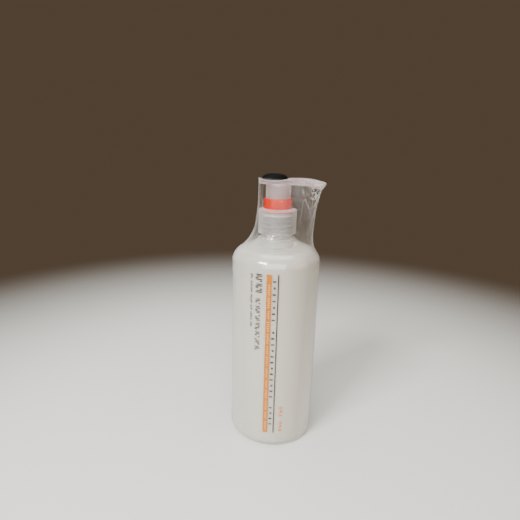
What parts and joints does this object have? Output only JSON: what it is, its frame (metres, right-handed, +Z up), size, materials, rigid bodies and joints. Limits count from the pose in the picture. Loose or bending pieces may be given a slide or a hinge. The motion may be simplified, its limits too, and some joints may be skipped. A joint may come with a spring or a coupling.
{
  "type": "pump oil bottle",
  "caption": "Round translucent lotion bottle with a screw-on pump: saddle head with a side spout, orange collar, dip tube and a clear shrink-film cover.",
  "frame": {"origin": "centre of the base on the bottle's axis, on the surface it stands on", "axes": "+Z up along the bottle's axis; +X along the spout, out of the nozzle"},
  "size_m": [0.0689, 0.0678, 0.2075],
  "materials": {
    "bottle_plastic": "blow-moulded natural plastic, glossy, translucent",
    "cream": "white oil emulsion",
    "shrink_film": "clear heat-shrunk film, glossy",
    "closure_plastic": "injection-moulded natural polypropylene",
    "gasket_foam": "soft polyethylene foam",
    "orange_plastic": "moulded orange polypropylene",
    "head_plastic": "injection-moulded natural polypropylene",
    "black_rubber": "soft black grip",
    "works_plastic": "natural polypropylene",
    "piston_plastic": "soft polyethylene",
    "spring_steel": "stainless steel"
  },
  "bodies": {
    "bottle": {"bottle": "bottle_plastic", "cream_fill": "cream", "film_wrap": "shrink_film"},
    "pump_unit": {"pump_housing": "works_plastic", "collar_ring": "orange_plastic", "neck_gasket": "gasket_foam", "dip_tube": "works_plastic"},
    "closure": {"closure": "closure_plastic"},
    "plunger": {"piston": "piston_plastic", "return_spring": "spring_steel"},
    "actuator": {"actuator_head": "head_plastic", "thumb_pad": "black_rubber", "stem": "works_plastic", "piston_rod": "works_plastic", "film_hood": "shrink_film"},
    "inlet_ball": {"check_ball": "spring_steel"}
  },
  "joints": [
    {"name": "pump_lift", "type": "slide", "parent": "bottle", "child": "pump_unit", "axis": [0, 0, 1], "range_m": [0, 0.00635]},
    {"name": "closure_turn", "type": "hinge", "parent": "pump_unit", "child": "closure", "pos_m": [0, 0, 0.172], "axis": [0, 0, 1], "range_deg": [0, 720.5]},
    {"name": "head_press", "type": "slide", "parent": "pump_unit", "child": "plunger", "axis": [0, 0, -1], "range_m": [0, 0.008], "stiffness_N_per_m": 700, "springref_m": -0.006, "deforming": ["return_spring", "film_hood"]},
    {"name": "head_swivel", "type": "hinge", "parent": "plunger", "child": "actuator", "pos_m": [0, 0, 0.19], "axis": [0, 0, 1], "continuous": true},
    {"name": "ball_lift", "type": "slide", "parent": "pump_unit", "child": "inlet_ball", "axis": [0, 0, 1], "range_m": [0, 0.0015]}
  ],
  "couplings": [
    {"joint": "closure_turn", "follows": "pump_lift", "rad_per_m": 1979}
  ]
}
